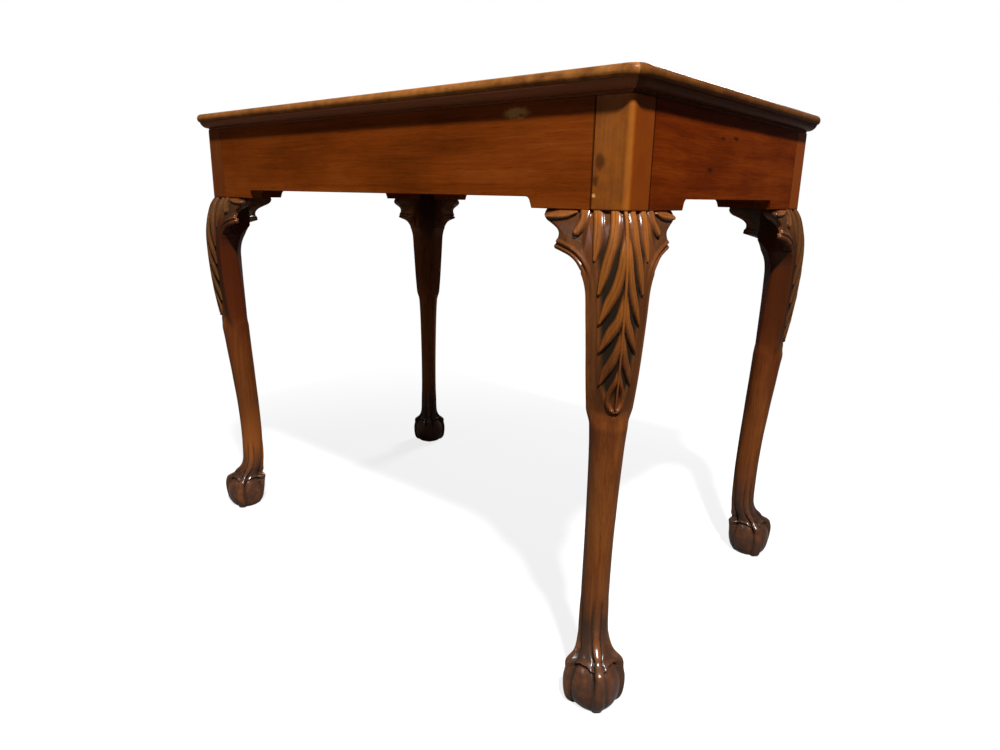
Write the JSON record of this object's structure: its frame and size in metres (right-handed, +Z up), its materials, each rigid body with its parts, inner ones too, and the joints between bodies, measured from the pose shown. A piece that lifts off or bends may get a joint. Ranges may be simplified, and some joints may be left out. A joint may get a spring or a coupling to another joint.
{
  "type": "tray top tea table",
  "caption": "Rectangular tea table with a moulded tray rim, plain frieze rails dropped at the ends, and cabriole legs with carved knees, eared brackets and claw-and-ball feet.",
  "frame": {"origin": "on the floor under the middle of the top", "axes": "+X along the long rails, +Y from the front rail to the back rail, +Z up"},
  "size_m": [0.8596, 0.5496, 0.706],
  "materials": {
    "leg_wood": "waxed mahogany, carved",
    "rail_wood": "waxed mahogany",
    "top_wood": "waxed mahogany",
    "rim_wood": "waxed mahogany",
    "block_wood": "bare softwood",
    "screw_metal": "dark, dull"
  },
  "bodies": {
    "root": {"leg_front_left": "leg_wood", "leg_front_right": "leg_wood", "leg_back_right": "leg_wood", "leg_back_left": "leg_wood", "bracket_front_left_long": "leg_wood", "bracket_front_left_short": "leg_wood", "bracket_front_right_long": "leg_wood", "bracket_front_right_short": "leg_wood", "bracket_back_right_long": "leg_wood", "bracket_back_right_short": "leg_wood", "bracket_back_left_long": "leg_wood", "bracket_back_left_short": "leg_wood", "rail_front": "rail_wood", "rail_right": "rail_wood", "rail_back": "rail_wood", "rail_left": "rail_wood", "glue_blocks_front": "block_wood", "glue_blocks_right": "block_wood", "glue_blocks_back": "block_wood", "glue_blocks_left": "block_wood", "top_board": "top_wood", "rim_front": "rim_wood", "rim_right": "rim_wood", "rim_back": "rim_wood", "rim_left": "rim_wood", "top_screws": "screw_metal"}
  },
  "joints": []
}
